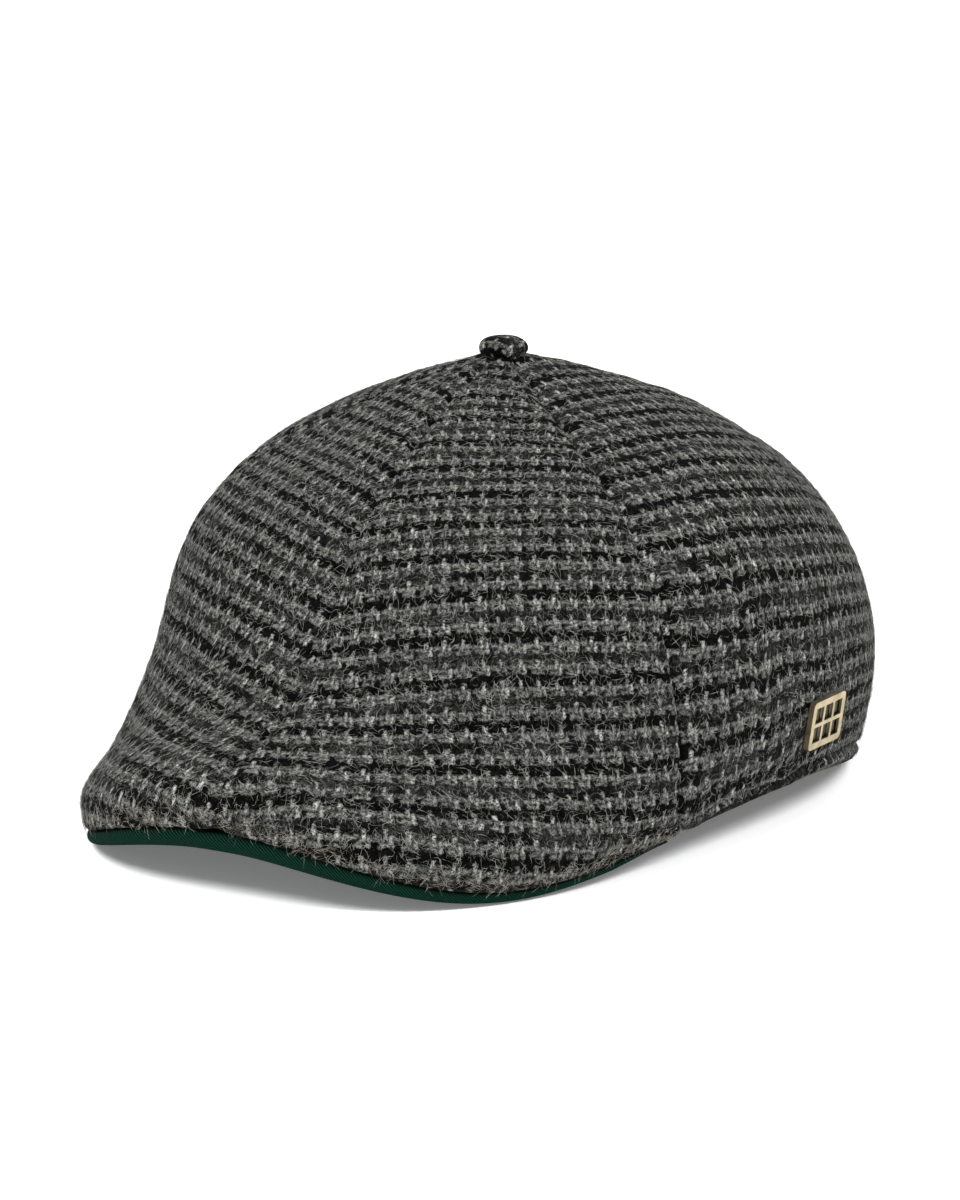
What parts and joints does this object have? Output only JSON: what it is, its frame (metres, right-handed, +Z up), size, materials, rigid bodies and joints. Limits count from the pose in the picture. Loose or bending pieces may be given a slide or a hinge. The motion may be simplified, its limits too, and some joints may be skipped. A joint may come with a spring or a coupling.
{
  "type": "duckbill cap",
  "caption": "Tweed duckbill cap: five wool panels, a covered button, a curved visor under the front panels in green twill, and a small brass and enamel badge.",
  "frame": {"origin": "middle of the footprint on the surface the cap rests on", "axes": "+Z up, the visor towards -Y, the wearer's left towards +X"},
  "size_m": [0.1884, 0.2628, 0.1294],
  "materials": {
    "tweed": "matte",
    "twill": "matte",
    "brass": "polished",
    "enamel": "gloss"
  },
  "bodies": {
    "root": {"front_panel_left": "tweed", "front_panel_right": "tweed", "rear_panel_left": "tweed", "rear_panel_right": "tweed", "back_panel": "tweed", "visor": "twill", "top_button": "tweed", "badge_plate": "brass", "badge_enamel": "enamel"}
  },
  "joints": []
}
